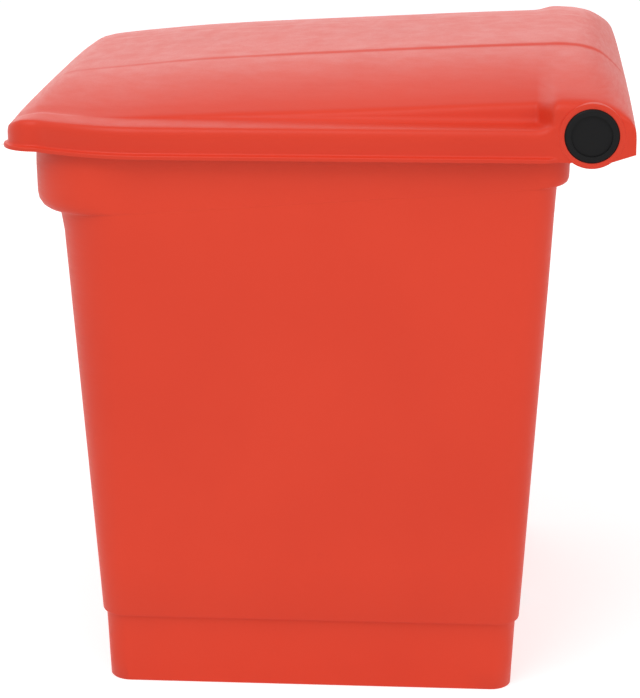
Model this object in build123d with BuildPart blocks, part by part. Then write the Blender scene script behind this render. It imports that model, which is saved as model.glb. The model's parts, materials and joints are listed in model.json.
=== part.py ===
from build123d import *
import math
import os

os.makedirs("parts", exist_ok=True)

# ---------------------------------------------------------------- driving dimensions (mm)
# Frame: origin at the middle of the base, +Z up, front towards -Y, hinge at the rear (+Y).
WIDTH = 400.0              # across the lid's bead
DEPTH = 413.0              # front of the lid to the back of the hinge housing
HEIGHT = 435.0             # floor to the crown of the lid
WALL = 2.8                 # moulded wall

# Container: (height, half width, front y, rear y) of each outer section
BASE_BOTTOM = (0.0, 165.5, -148.4, 133.0)
BASE_TOP = (50.0, 166.8, -149.8, 135.6)
BODY_BOTTOM = (50.0, 169.8, -152.0, 138.2)
BODY_TOP = (345.0, 188.0, -172.0, 157.0)
COLLAR_LOW = (345.0, 188.0, -187.0, 165.5)
RIM_TOP = (386.0, 190.0, -188.5, 166.0)
COLLAR_DROP = 9.0          # height of the collar's sloped underside
COLLAR_ROOT = 1.2          # underside starts this far inside the body's wall
CORNER_BASE = (16.0, 14.0)         # front and rear corner radii
CORNER_BODY_LOW = (18.0, 16.0)
CORNER_BODY_HIGH = (48.0, 18.0)
CORNER_COLLAR = (64.0, 20.0)
FLOOR_Z = 64.0             # underside of the raised floor
FLOOR_FILLET = 8.0         # floor to walls, inside
LIP_OUT = 1.0              # bead round the container's mouth
LIP_HEIGHT = 4.0

# Hinge
HINGE_Y = 178.6
HINGE_Z = 397.1
PIN_R = 8.0                # hinge pin shank
PIN_END_X = 158.0          # shank's inner end, just past the ear
RUN_GAP = 0.05             # radial clearance of a running fit
CAP_R = 17.2               # hinge pin head
CAP_FACE_X = 198.0
CAP_THICK = 4.5
CAP_GAP = 0.2              # round the head, in the boss
CAP_RIM = 4.0              # raised rim round the head's dished face
CAP_DISH = 1.5
LID_BOSS_R = 21.0
LID_BOSS_IN_X = 176.5
BOSS_GAP = 1.0             # round the boss, and beside the ear
EAR_OUT_X = 175.5
EAR_IN_X = 160.0
EAR_R = 15.0
EAR_WEB_Y = 148.0          # web's front corner
EAR_WEB_Z = 352.0          # web's foot in the collar

# Lid
RIM_HALF = 197.2           # lid skirt, plan half width
RIM_LOW = 380.0
RIM_HIGH = 400.0
FLANGE_OUT = WIDTH / 2.0 - RIM_HALF
FLANGE_HEIGHT = 2.6
FLANGE_REAR_Y = 152.0
LEDGE_RISE = 6.0
LEDGE_IN = 12.0
FRONT_Y = -DEPTH / 2.0
REAR_Y = DEPTH / 2.0
BAND_HALF = 66.0           # raised middle band
STEP_RUN = 2.0
HOUSING_HALF = 197.0
HOUSING_FRONT_Y = 150.0
DOME_FOOT_Z = 388.0        # dome sections start here, inside the skirt
SKIRT_RISE_Y = 196.0       # the skirt's foot rises behind the hinge
SKIRT_REAR_Z = 385.5
SIDE_END_Y = -109.0        # plan of the skirt: end of the straight sides
SIDE_MID = (191.0, -148.0)
SIDE_NOSE = (175.5, -182.0)        # where the side turns into the front corner
NOSE_MID = (168.6, -196.6)
NOSE_END_X = 155.0
FRONT_BOW = 0.7
BRACKET_TOP_Z = 427.0
BRACKET_Y = 142.0
BRACKET_SIZE = (40.0, 46.0)
PAD_THICK = 4.6            # pad over the bracket, up into the band
LID_OPEN_DEG = 80.0

# Linkage
LUG_R = 38.0               # lift pin, distance from the hinge line
LUG_DEG = LID_OPEN_DEG / 2.0
LIFT_PIN_R = 3.0
ROD_R = 3.0
SLOT_HALF = 5.6            # half the travel of the lift pin in the rod head
FOOT_Y = 116.0             # rod foot, at rest
FOOT_Z = 9.5
PIVOT_Y = -48.0            # pedal axle
PIVOT_Z = 24.0
AXLE_R = 4.0
CHANNEL_HALF = 16.0
CHANNEL_FRONT = 14.6       # channel's front wall, in front of the rod's line
CHANNEL_DEPTH = 120.0
CHANNEL_RUNOUT = 30.0      # channel cut past both ends of the rod
TOE_HALF = 72.0            # toe recess over the pedal
TOE_TOP_Z = 104.0
TOE_BACK_Y = -96.0
TOE_BACK_RISE = 8.0        # upright back wall before the sloped roof
TOE_SLOPE_Y = -146.0       # where the roof levels out
TOE_FRONT_Y = -230.0       # cut's end, clear in front of the container

# ---------------------------------------------------------------- worked-out positions
CAP_SEAT_X = CAP_FACE_X - CAP_THICK
LIFT_PIN_Y = HINGE_Y - LUG_R * math.cos(math.radians(LUG_DEG))
LIFT_PIN_Z = HINGE_Z - LUG_R * math.sin(math.radians(LUG_DEG))
HEAD_Y = LIFT_PIN_Y - SLOT_HALF + 0.2
ROD_TILT = math.atan2(HEAD_Y - FOOT_Y, LIFT_PIN_Z - FOOT_Z)
ROD_LENGTH = math.hypot(HEAD_Y - FOOT_Y, LIFT_PIN_Z - FOOT_Z)
LIFT_HEIGHT = 2.0 * LUG_R * math.sin(math.radians(LUG_DEG))
ROD_STROKE = LIFT_HEIGHT / math.cos(ROD_TILT)
ARM = math.hypot(FOOT_Y - PIVOT_Y, PIVOT_Z - FOOT_Z)
PEDAL_REST = math.asin((PIVOT_Z - FOOT_Z) / ARM)
FOOT_RISE = FOOT_Z + LIFT_HEIGHT - PIVOT_Z
FOOT_REACH = FOOT_Y + ROD_STROKE * math.sin(ROD_TILT) - PIVOT_Y
PEDAL_SWING = PEDAL_REST + math.atan2(FOOT_RISE, FOOT_REACH)

# Rod frame: origin at the foot pin, local Z up the rod, local X along +X, local Y to the rear
ROD_PLANE = Plane(
    origin=(0, FOOT_Y, FOOT_Z), x_dir=(1, 0, 0), z_dir=(0, math.sin(ROD_TILT), math.cos(ROD_TILT))
)
# Pedal frame: origin on the axle, local Y to the rear and down, local Z up
PEDAL_PLANE = Plane(
    origin=(0, PIVOT_Y, PIVOT_Z), x_dir=(1, 0, 0), z_dir=(0, math.sin(PEDAL_REST), math.cos(PEDAL_REST))
)
# Frame on the lift pin, upright at rest
LIFT_PLANE = Plane(origin=(0, LIFT_PIN_Y, LIFT_PIN_Z))


def save(piece, label):
    """Name one finished piece and write its STEP file."""
    piece.part.label = label
    export_step(piece.part, f"parts/{label}.step")


def side_plane(frame, offset):
    """Plane across X at a given offset, whose x axis is the frame's local Y and y axis its local Z."""
    origin = frame.from_local_coords(Vector(offset, 0, 0))
    return Plane(origin=origin, x_dir=frame.y_dir, z_dir=frame.x_dir)


def section_at(low, high, z, inset):
    """Rounded rectangle of the container between two outer sections, pulled in by an inset."""
    t = (z - low[0]) / (high[0] - low[0])
    half, front, rear = (low[i] + (high[i] - low[i]) * t for i in (1, 2, 3))
    return half - inset, front + inset, rear - inset


def container_section(low, high, z, inset, corner):
    """Sketch of the container's section at one height, with its own front and rear corner radii."""
    half, front, rear = section_at(low, high, z, inset)
    with BuildSketch(Plane.XY.offset(z)) as section:
        with Locations((0, (front + rear) / 2.0)):
            Rectangle(2.0 * half, rear - front)
        fillet(section.vertices().group_by(Axis.Y)[0], corner[0] - inset)
        fillet(section.vertices().filter_by(lambda v: v.Y > rear - 0.01), corner[1] - inset)
    return section.sketch


def hinge_disc(start, amount, radius):
    """Round disc on the hinge line, from one x position and by a signed amount along X."""
    with BuildPart() as disc:
        with BuildSketch(Plane.YZ.offset(start)):
            with Locations((HINGE_Y, HINGE_Z)):
                Circle(radius)
        extrude(amount=amount)
    return disc.part


# ---------------------------------------------------------------- container
def channel_block(extra):
    """Groove the rod runs in, measured square to the rod; extra grows it by a wall."""
    with BuildPart() as block:
        with BuildSketch(ROD_PLANE.offset(-CHANNEL_RUNOUT)):
            with Locations((0, CHANNEL_DEPTH / 2.0 - CHANNEL_FRONT - extra)):
                Rectangle(2.0 * (CHANNEL_HALF + extra), CHANNEL_DEPTH)
        extrude(amount=ROD_LENGTH + 2.0 * CHANNEL_RUNOUT)
    return block.part


def toe_block(extra):
    """Recess over the pedal, with a sloped roof; extra grows it by a wall."""
    with BuildPart() as block:
        with BuildSketch(Plane.YZ):
            with BuildLine():
                Polyline(
                    (TOE_FRONT_Y, FLOOR_Z - 1.0 - extra),
                    (TOE_BACK_Y + extra, FLOOR_Z - 1.0 - extra),
                    (TOE_BACK_Y + extra, FLOOR_Z + TOE_BACK_RISE + extra * 0.6),
                    (TOE_SLOPE_Y, TOE_TOP_Z + extra),
                    (TOE_FRONT_Y, TOE_TOP_Z + extra),
                    close=True,
                )
            make_face()
        extrude(amount=TOE_HALF + extra, both=True)
    return block.part


with BuildPart() as cavity:
    # waste space, then the wider room inside the collar
    add(container_section(BODY_BOTTOM, BODY_TOP, FLOOR_Z + WALL, WALL, CORNER_BODY_LOW))
    add(container_section(BODY_BOTTOM, BODY_TOP, BODY_TOP[0], WALL, CORNER_BODY_HIGH))
    loft()
    add(container_section(COLLAR_LOW, RIM_TOP, BODY_TOP[0], WALL, CORNER_COLLAR))
    add(container_section(COLLAR_LOW, RIM_TOP, RIM_TOP[0] + 1.0, WALL, CORNER_COLLAR))
    loft()
    fillet(cavity.edges().group_by(Axis.Z)[0], FLOOR_FILLET)
    add(channel_block(WALL), mode=Mode.SUBTRACT)
    add(toe_block(WALL), mode=Mode.SUBTRACT)

with BuildPart() as base_hollow:
    # open space under the floor
    add(container_section(BASE_BOTTOM, BASE_TOP, -1.0, WALL, CORNER_BASE))
    add(container_section(BASE_BOTTOM, BASE_TOP, FLOOR_Z, WALL, CORNER_BASE))
    loft()

with BuildPart() as container_shell:
    add(container_section(BASE_BOTTOM, BASE_TOP, 0.0, 0.0, CORNER_BASE))
    add(container_section(BASE_BOTTOM, BASE_TOP, BASE_TOP[0], 0.0, CORNER_BASE))
    loft()
    add(container_section(BODY_BOTTOM, BODY_TOP, BODY_BOTTOM[0], 0.0, CORNER_BODY_LOW))
    add(container_section(BODY_BOTTOM, BODY_TOP, BODY_TOP[0], 0.0, CORNER_BODY_HIGH))
    loft()
    # collar: sloped underside, then nearly upright walls, then the mouth's bead
    add(container_section(BODY_BOTTOM, BODY_TOP, COLLAR_LOW[0] - COLLAR_DROP, COLLAR_ROOT, CORNER_BODY_HIGH))
    add(container_section(COLLAR_LOW, RIM_TOP, COLLAR_LOW[0], 0.0, CORNER_COLLAR))
    loft()
    add(container_section(COLLAR_LOW, RIM_TOP, COLLAR_LOW[0], 0.0, CORNER_COLLAR))
    add(container_section(COLLAR_LOW, RIM_TOP, RIM_TOP[0], 0.0, CORNER_COLLAR))
    loft()
    add(container_section(COLLAR_LOW, RIM_TOP, RIM_TOP[0] - LIP_HEIGHT, -LIP_OUT, CORNER_COLLAR))
    extrude(amount=LIP_HEIGHT)
    add(cavity.part, mode=Mode.SUBTRACT)
    add(base_hollow.part, mode=Mode.SUBTRACT)
    add(channel_block(0.0), mode=Mode.SUBTRACT)
    add(toe_block(0.0), mode=Mode.SUBTRACT)
    # way through the base for the pedal
    with BuildSketch(Plane.XY):
        with Locations((0, BASE_BOTTOM[2])):
            Rectangle(2.0 * TOE_HALF, 8.0 * WALL)
    extrude(amount=FLOOR_Z, mode=Mode.SUBTRACT)
    # relief for the lid's bosses at the two rear corners
    for side in (-1, 1):
        add(hinge_disc(side * EAR_OUT_X, side * 2.0 * LID_BOSS_R, LID_BOSS_R + BOSS_GAP), mode=Mode.SUBTRACT)
    # hinge ears: a barrel on the hinge line and a web down into the collar
    for side in (-1, 1):
        with BuildSketch(Plane.YZ.offset(side * EAR_IN_X)):
            with Locations((HINGE_Y, HINGE_Z)):
                Circle(EAR_R)
            with BuildLine():
                Polyline(
                    (HINGE_Y - EAR_R, HINGE_Z),
                    (HINGE_Y + 6.0, HINGE_Z - 12.0),
                    (RIM_TOP[3] - 0.5, EAR_WEB_Z + 22.0),
                    (RIM_TOP[3] - 1.5, EAR_WEB_Z),
                    (RIM_TOP[3] - 8.0, EAR_WEB_Z),
                    (EAR_WEB_Y, EAR_WEB_Z + 26.0),
                    close=True,
                )
            make_face()
        extrude(amount=side * (EAR_OUT_X - EAR_IN_X))
    with Locations(Plane.YZ):
        with Locations((HINGE_Y, HINGE_Z)):
            Cylinder(PIN_R + RUN_GAP, 2.0 * WIDTH, mode=Mode.SUBTRACT)
save(container_shell, "container_shell")

# ---------------------------------------------------------------- lid
# (y, dome half width, side edge z, band z, band step) of each cross-section, front to rear
DOME = (
    (-203.0, 158.0, 401.5, 402.5, 0.3),
    (-181.0, 168.0, 406.8, 413.2, 0.4),
    (-137.0, 180.0, 407.4, 417.0, 0.7),
    (-95.0, 185.0, 408.4, 422.0, 1.0),
    (-9.0, 186.5, 412.0, 427.0, 1.4),
    (80.0, 187.0, 416.0, 431.2, 1.8),
    (HOUSING_FRONT_Y + 6.0, 187.0, 418.2, HEIGHT - 0.8, 2.0),
)
HOUSING = (
    (HOUSING_FRONT_Y, HOUSING_HALF, 418.0, HEIGHT - 0.8, 2.0),
    (160.0, HOUSING_HALF, 418.6, HEIGHT, 2.0),
    (173.0, HOUSING_HALF, 418.4, HEIGHT - 0.8, 2.0),
    (187.0, HOUSING_HALF, 416.5, 430.0, 1.8),
    (197.0, HOUSING_HALF, 412.5, 422.4, 1.4),
    (203.5, HOUSING_HALF, 406.5, 413.8, 0.8),
    (REAR_Y, HOUSING_HALF, 400.5, 405.0, 0.4),
)
SHOULDER = 4.0
RIB_REAR_Y = 138.0
RIB_PAST = 0.4             # rib past the mouth's wall, each side


def dome_section(row, inset, bottom):
    """Closed cross-section: upright sides, crowned side parts and the raised middle band."""
    y, half, side_z, band_z, step = row
    wide = half - inset
    low = side_z - inset
    high = band_z - inset
    foot = high - step
    edge = BAND_HALF - inset
    run = wide - SHOULDER - edge - STEP_RUN
    mid = (edge + STEP_RUN + run / 2.0, foot - (foot - low) / 4.0)
    with BuildSketch(Plane(origin=(0, y, 0), x_dir=(1, 0, 0), z_dir=(0, -1, 0))) as section:
        with BuildLine():
            Polyline(
                (-wide + SHOULDER, low),
                (-wide, low - SHOULDER * 0.5),
                (-wide, bottom),
                (wide, bottom),
                (wide, low - SHOULDER * 0.5),
                (wide - SHOULDER, low),
            )
            ThreePointArc((wide - SHOULDER, low), mid, (edge + STEP_RUN, foot))
            Polyline((edge + STEP_RUN, foot), (edge, high), (-edge, high), (-edge - STEP_RUN, foot))
            ThreePointArc((-edge - STEP_RUN, foot), (-mid[0], mid[1]), (-wide + SHOULDER, low))
        make_face()
    return section.sketch


def flip(point):
    """The same point on the other side of the middle plane."""
    return (-point[0], point[1])


def lid_outline(z, inset):
    """Plan of the lid's skirt: straight sides that draw in towards a slightly bowed front."""
    half = RIM_HALF - inset
    rear = REAR_Y - inset
    front = FRONT_Y + FLANGE_OUT + inset
    side_mid = (SIDE_MID[0] - inset, SIDE_MID[1])
    side_nose = (SIDE_NOSE[0] - inset, SIDE_NOSE[1] + inset * 0.4)
    nose_mid = (NOSE_MID[0] - inset, NOSE_MID[1] + inset)
    nose_end = (NOSE_END_X - inset * 0.6, front + FRONT_BOW)
    with BuildSketch(Plane.XY.offset(z)) as outline:
        with BuildLine():
            Line((-half, rear), (half, rear))
            Line((half, rear), (half, SIDE_END_Y))
            ThreePointArc((half, SIDE_END_Y), side_mid, side_nose)
            ThreePointArc(side_nose, nose_mid, nose_end)
            ThreePointArc(nose_end, (0, front), flip(nose_end))
            ThreePointArc(flip(nose_end), flip(nose_mid), flip(side_nose))
            ThreePointArc(flip(side_nose), flip(side_mid), (-half, SIDE_END_Y))
            Line((-half, SIDE_END_Y), (-half, rear))
        make_face()
    return outline.sketch


def lid_solid(inset, low_z):
    """Filled lid form: skirt, sloped ledge, dome and hinge housing, pulled in by an inset."""
    with BuildPart() as form:
        add(lid_outline(low_z, inset))
        extrude(amount=RIM_HIGH - inset - low_z)
        add(lid_outline(RIM_HIGH - inset, inset))
        add(lid_outline(RIM_HIGH - inset + LEDGE_RISE, inset + LEDGE_IN))
        loft()
        for row in DOME:
            add(dome_section(row, inset, DOME_FOOT_Z))
        loft(ruled=True)
        for row in HOUSING[:-1]:
            add(dome_section(row, inset, DOME_FOOT_Z))
        rearmost = (HOUSING[-1][0] - inset,) + HOUSING[-1][1:]
        add(dome_section(rearmost, inset, DOME_FOOT_Z))
        loft(ruled=True)
    return form.part


with BuildPart() as seat_rib:
    # rib under the lid that lands on the container's mouth, along the front and both sides
    add(container_section(COLLAR_LOW, RIM_TOP, RIM_TOP[0], -RIB_PAST, CORNER_COLLAR))
    extrude(amount=RIM_HIGH - RIM_TOP[0])
    add(container_section(COLLAR_LOW, RIM_TOP, RIM_TOP[0], WALL + RIB_PAST, CORNER_COLLAR))
    extrude(amount=RIM_HIGH - RIM_TOP[0], mode=Mode.SUBTRACT)
    with BuildSketch(Plane.XY.offset(RIM_TOP[0])):
        with Locations((0, RIB_REAR_Y + WIDTH / 2.0)):
            Rectangle(2.0 * WIDTH, WIDTH)
    extrude(amount=RIM_HIGH - RIM_TOP[0], mode=Mode.SUBTRACT)

with BuildPart() as flange:
    # thin flange round the foot of the skirt, stopping at the hinge housing
    add(lid_outline(RIM_LOW, -FLANGE_OUT))
    extrude(amount=FLANGE_HEIGHT)
    with BuildSketch(Plane.XY.offset(RIM_LOW)):
        with Locations((0, FLANGE_REAR_Y + WIDTH / 2.0)):
            Rectangle(2.0 * WIDTH, WIDTH)
    extrude(amount=FLANGE_HEIGHT, mode=Mode.SUBTRACT)

with BuildPart() as lid_shell:
    add(lid_solid(0.0, RIM_LOW))
    add(flange.part)
    add(lid_solid(WALL, RIM_LOW - 1.0), mode=Mode.SUBTRACT)
    # skirt behind the hinge rises a little towards the rear
    with BuildSketch(Plane.YZ):
        with BuildLine():
            Polyline(
                (SKIRT_RISE_Y, RIM_LOW - 1.0),
                (REAR_Y + 2.0, RIM_LOW - 1.0),
                (REAR_Y + 2.0, SKIRT_REAR_Z),
                close=True,
            )
        make_face()
    extrude(amount=WIDTH, both=True, mode=Mode.SUBTRACT)
    # bosses at both ends of the housing take the hinge pins
    for side in (-1, 1):
        add(hinge_disc(side * LID_BOSS_IN_X, side * (HOUSING_HALF - LID_BOSS_IN_X), LID_BOSS_R))
    add(seat_rib.part)
    # flat pad under the band for the lift bracket
    with BuildSketch(Plane.XY.offset(BRACKET_TOP_Z)):
        with Locations((0, BRACKET_Y)):
            Rectangle(BRACKET_SIZE[0] + 4.0, BRACKET_SIZE[1] + 6.0)
    extrude(amount=PAD_THICK)
    with Locations(Plane.YZ):
        with Locations((HINGE_Y, HINGE_Z)):
            Cylinder(PIN_R, 2.0 * WIDTH, mode=Mode.SUBTRACT)
    for side in (-1, 1):
        add(hinge_disc(side * CAP_SEAT_X, side * 2.0 * CAP_THICK, CAP_R + CAP_GAP), mode=Mode.SUBTRACT)
save(lid_shell, "lid_shell")

# ---------------------------------------------------------------- hinge pins
for side, label in ((-1, "hinge_pin_left"), (1, "hinge_pin_right")):
    with BuildPart() as hinge_pin:
        # head with a shallow dished face, then the shank
        add(hinge_disc(side * CAP_SEAT_X, side * CAP_THICK, CAP_R))
        outer_face = hinge_pin.faces().sort_by(Axis.X)[-1 if side > 0 else 0]
        chamfer(outer_face.edges(), 0.8)
        add(hinge_disc(side * CAP_FACE_X, -side * CAP_DISH, CAP_R - CAP_RIM), mode=Mode.SUBTRACT)
        add(hinge_disc(side * PIN_END_X, side * (CAP_SEAT_X - PIN_END_X), PIN_R))
    save(hinge_pin, label)

# ---------------------------------------------------------------- lift bracket under the lid
BRACKET_PLATE = 2.5
BRACKET_HOLES = (28.0, 32.0)       # spacing of the screw holes
LUG_IN_X = 6.0
LUG_THICK = 2.5
LUG_HALF = 18.0            # half the lug's length at the plate
LUG_END_R = 7.0
SCREW_R = 2.0
SCREW_HEAD_R = 4.0
SCREW_HEAD = 2.4
THREAD = 2.4               # length of screw held in the moulding
lug_front = (BRACKET_Y - LUG_HALF, BRACKET_TOP_Z - 1.0)
lug_rear = (BRACKET_Y + LUG_HALF, BRACKET_TOP_Z - 1.0)
with BuildPart() as lift_bracket:
    with BuildSketch(Plane.XY.offset(BRACKET_TOP_Z)):
        with Locations((0, BRACKET_Y)):
            RectangleRounded(*BRACKET_SIZE, 4.0)
            with GridLocations(*BRACKET_HOLES, 2, 2):
                Circle(SCREW_R + 0.1, mode=Mode.SUBTRACT)
    extrude(amount=-BRACKET_PLATE)
    for side in (-1, 1):
        with BuildSketch(Plane.YZ.offset(side * LUG_IN_X)):
            with BuildLine():
                Line(lug_front, lug_rear)
                Line(lug_rear, (LIFT_PIN_Y + LUG_END_R, LIFT_PIN_Z))
                ThreePointArc(
                    (LIFT_PIN_Y + LUG_END_R, LIFT_PIN_Z),
                    (LIFT_PIN_Y, LIFT_PIN_Z - LUG_END_R),
                    (LIFT_PIN_Y - LUG_END_R, LIFT_PIN_Z),
                )
                Line((LIFT_PIN_Y - LUG_END_R, LIFT_PIN_Z), lug_front)
            make_face()
            with Locations((LIFT_PIN_Y, LIFT_PIN_Z)):
                Circle(LIFT_PIN_R, mode=Mode.SUBTRACT)
        extrude(amount=side * LUG_THICK)
save(lift_bracket, "lift_bracket")


def screw(plane, shank, slot_depth=1.0):
    """Round-headed screw: the head's seat lies on the plane and the shank runs against its normal."""
    with BuildPart() as piece:
        with BuildSketch(plane):
            Circle(SCREW_HEAD_R)
        extrude(amount=SCREW_HEAD)
        fillet(piece.faces().sort_by(Axis(plane.origin, plane.z_dir))[-1].edges(), SCREW_HEAD / 2.0)
        with BuildSketch(plane.offset(SCREW_HEAD)):
            Rectangle(1.0, 3.6)
            Rectangle(3.6, 1.0)
        extrude(amount=-slot_depth, mode=Mode.SUBTRACT)
        with BuildSketch(plane):
            Circle(SCREW_R)
        extrude(amount=-shank)
    return piece.part


with BuildPart() as bracket_screws:
    for side in (-1, 1):
        for end in (-1, 1):
            x = side * BRACKET_HOLES[0] / 2.0
            y = BRACKET_Y + end * BRACKET_HOLES[1] / 2.0
            seat = Plane(origin=(x, y, BRACKET_TOP_Z - BRACKET_PLATE), z_dir=(0, 0, -1))
            add(screw(seat, BRACKET_PLATE + THREAD))
save(bracket_screws, "bracket_screws")

PIN_HEAD = 2.0             # head of a linkage pin, and how far it stands past the shank
PIN_TAIL = 2.6             # shank past the clip's side
CLIP_OUT = 2.4
CLIP_THICK = 1.0
CLIP_GAP = 0.3
CLIP_MOUTH = 2.4


def headed_pin(plane, length):
    """Linkage pin along the plane's normal: the head behind the plane, then the shank."""
    with BuildPart() as piece:
        with BuildSketch(plane):
            Circle(LIFT_PIN_R + PIN_HEAD)
        extrude(amount=-PIN_HEAD)
        with BuildSketch(plane):
            Circle(LIFT_PIN_R)
        extrude(amount=length)
    return piece.part


def spring_clip(plane, shank, amount):
    """Flat ring round a shank, open along the plane's x axis."""
    with BuildPart() as piece:
        with BuildSketch(plane):
            Circle(shank + CLIP_OUT)
            Circle(shank, mode=Mode.SUBTRACT)
            with Locations((shank + CLIP_OUT, 0)):
                Rectangle(2.0 * CLIP_OUT + shank, CLIP_MOUTH, mode=Mode.SUBTRACT)
        extrude(amount=amount)
    return piece.part


LUG_OUT_X = LUG_IN_X + LUG_THICK
with BuildPart() as lift_pin:
    add(headed_pin(side_plane(LIFT_PLANE, -LUG_OUT_X), 2.0 * LUG_OUT_X + PIN_TAIL))
save(lift_pin, "lift_pin")

with BuildPart() as lift_pin_clip:
    add(spring_clip(side_plane(LIFT_PLANE, LUG_OUT_X + CLIP_GAP), LIFT_PIN_R, CLIP_THICK))
save(lift_pin_clip, "lift_pin_clip")

# ---------------------------------------------------------------- lift rod
ROD_START = 12.0           # rod's lower end above the foot pin
ROD_END = ROD_LENGTH - 8.0
HEAD_THICK = 6.0
HEAD_WALL = 3.0            # metal round the slot
NECK_R = 5.6
NECK_START = ROD_LENGTH - 22.0
NECK_LENGTH = 13.0
FORK_IN = 4.6
FORK_OUT = 8.0
FORK_R = 7.0
FORK_TOP = 18.0
FORK_GAP_TOP = 11.0        # top of the gap between the fork's cheeks
with BuildPart() as lift_rod:
    with BuildSketch(ROD_PLANE.offset(ROD_START)):
        Circle(ROD_R)
    extrude(amount=ROD_END - ROD_START)
save(lift_rod, "lift_rod")

SLOT_R = LIFT_PIN_R + 1.3
HEAD_FACE = side_plane(ROD_PLANE, 0.0)
with BuildPart() as rod_head:
    with BuildSketch(HEAD_FACE):
        with Locations((0, ROD_LENGTH)):
            SlotCenterToCenter(2.0 * SLOT_HALF, 2.0 * (SLOT_R + HEAD_WALL))
        with Locations((0, NECK_START + 9.0)):
            Rectangle(2.0 * NECK_R + 0.8, 18.0)
        with Locations((0, ROD_LENGTH)):
            SlotCenterToCenter(2.0 * SLOT_HALF, 2.0 * SLOT_R, mode=Mode.SUBTRACT)
    extrude(amount=HEAD_THICK / 2.0, both=True)
    with BuildSketch(ROD_PLANE.offset(NECK_START)):
        Circle(NECK_R)
    extrude(amount=NECK_LENGTH)
    with BuildSketch(ROD_PLANE.offset(NECK_START - 2.0)):
        Circle(ROD_R)
    extrude(amount=ROD_END - NECK_START + 2.0, mode=Mode.SUBTRACT)
save(rod_head, "rod_head")

with BuildPart() as rod_foot:
    with BuildSketch(HEAD_FACE):
        Circle(FORK_R)
        with Locations((0, FORK_TOP / 2.0)):
            Rectangle(2.0 * FORK_R, FORK_TOP)
        Circle(LIFT_PIN_R, mode=Mode.SUBTRACT)
    extrude(amount=FORK_OUT, both=True)
    with BuildSketch(ROD_PLANE.offset(-2.0 * FORK_R)):
        Rectangle(2.0 * FORK_IN, 4.0 * FORK_R)
    extrude(amount=2.0 * FORK_R + FORK_GAP_TOP, mode=Mode.SUBTRACT)
    with BuildSketch(ROD_PLANE):
        Circle(ROD_R)
    extrude(amount=2.0 * FORK_TOP, mode=Mode.SUBTRACT)
save(rod_foot, "rod_foot")

with BuildPart() as foot_pin:
    add(headed_pin(side_plane(ROD_PLANE, -FORK_OUT), 2.0 * FORK_OUT + PIN_TAIL))
save(foot_pin, "foot_pin")

with BuildPart() as foot_pin_clip:
    add(spring_clip(side_plane(ROD_PLANE, FORK_OUT + CLIP_GAP), LIFT_PIN_R, CLIP_THICK))
save(foot_pin_clip, "foot_pin_clip")

# ---------------------------------------------------------------- rod guides in the channel
GUIDE_HEIGHT = 12.0
GUIDE_BACK = 7.0
GUIDE_HALF = 6.2
GUIDE_FLANGE = 4.0
GUIDE_SCREW_X = 10.5
GUIDE_STATIONS = (("rod_guide_lower", 105.0), ("rod_guide_upper", 300.0))


def guide_screw_seat(x, station):
    """Plane on a guide's flange, facing out of the channel, centred on one screw."""
    middle = Vector(x, GUIDE_FLANGE - CHANNEL_FRONT, station + GUIDE_HEIGHT / 2.0)
    return Plane(origin=ROD_PLANE.from_local_coords(middle), x_dir=(1, 0, 0), z_dir=ROD_PLANE.y_dir)


for label, station in GUIDE_STATIONS:
    with BuildPart() as rod_guide:
        with BuildSketch(ROD_PLANE.offset(station)):
            with Locations((0, (GUIDE_BACK - CHANNEL_FRONT) / 2.0)):
                Rectangle(2.0 * GUIDE_HALF, GUIDE_BACK + CHANNEL_FRONT)
            with Locations((0, GUIDE_FLANGE / 2.0 - CHANNEL_FRONT)):
                Rectangle(2.0 * (CHANNEL_HALF - 0.4), GUIDE_FLANGE)
            Circle(ROD_R + RUN_GAP, mode=Mode.SUBTRACT)
        extrude(amount=GUIDE_HEIGHT)
        for x in (-GUIDE_SCREW_X, GUIDE_SCREW_X):
            with BuildSketch(guide_screw_seat(x, station)):
                Circle(SCREW_R)
            extrude(amount=-GUIDE_FLANGE - 1.0, mode=Mode.SUBTRACT)
    save(rod_guide, label)

with BuildPart() as guide_screws:
    for label, station in GUIDE_STATIONS:
        for x in (-GUIDE_SCREW_X, GUIDE_SCREW_X):
            add(screw(guide_screw_seat(x, station), GUIDE_FLANGE + THREAD))
save(guide_screws, "guide_screws")

# ---------------------------------------------------------------- pedal axle and its saddles
SADDLE_IN_X = 30.0
SADDLE_THICK = 10.0
SADDLE_R = 11.0
SADDLE_FOOT = 5.0
SADDLE_FLANGE = (22.0, 32.0)
SADDLE_SCREW_X = 50.0
SADDLE_SCREW_Y = 9.0       # either side of the axle
for side, label in ((-1, "axle_saddle_left"), (1, "axle_saddle_right")):
    with BuildPart() as axle_saddle:
        with BuildSketch(Plane.YZ.offset(side * SADDLE_IN_X)):
            with Locations((PIVOT_Y, PIVOT_Z)):
                Circle(SADDLE_R)
            with BuildLine():
                Polyline(
                    (PIVOT_Y - SADDLE_R, PIVOT_Z),
                    (PIVOT_Y + SADDLE_R, PIVOT_Z),
                    (PIVOT_Y + SADDLE_FLANGE[1] / 2.0, FLOOR_Z),
                    (PIVOT_Y - SADDLE_FLANGE[1] / 2.0, FLOOR_Z),
                    close=True,
                )
            make_face()
            with Locations((PIVOT_Y, PIVOT_Z)):
                Circle(AXLE_R, mode=Mode.SUBTRACT)
        extrude(amount=side * SADDLE_THICK)
        with BuildSketch(Plane.XY.offset(FLOOR_Z)):
            with Locations((side * (SADDLE_SCREW_X - 1.0), PIVOT_Y)):
                Rectangle(*SADDLE_FLANGE)
        extrude(amount=-SADDLE_FOOT)
        for y in (PIVOT_Y - SADDLE_SCREW_Y, PIVOT_Y + SADDLE_SCREW_Y):
            with BuildSketch(Plane.XY.offset(FLOOR_Z)):
                with Locations((side * SADDLE_SCREW_X, y)):
                    Circle(SCREW_R)
            extrude(amount=-SADDLE_FOOT, mode=Mode.SUBTRACT)
    save(axle_saddle, label)

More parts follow.
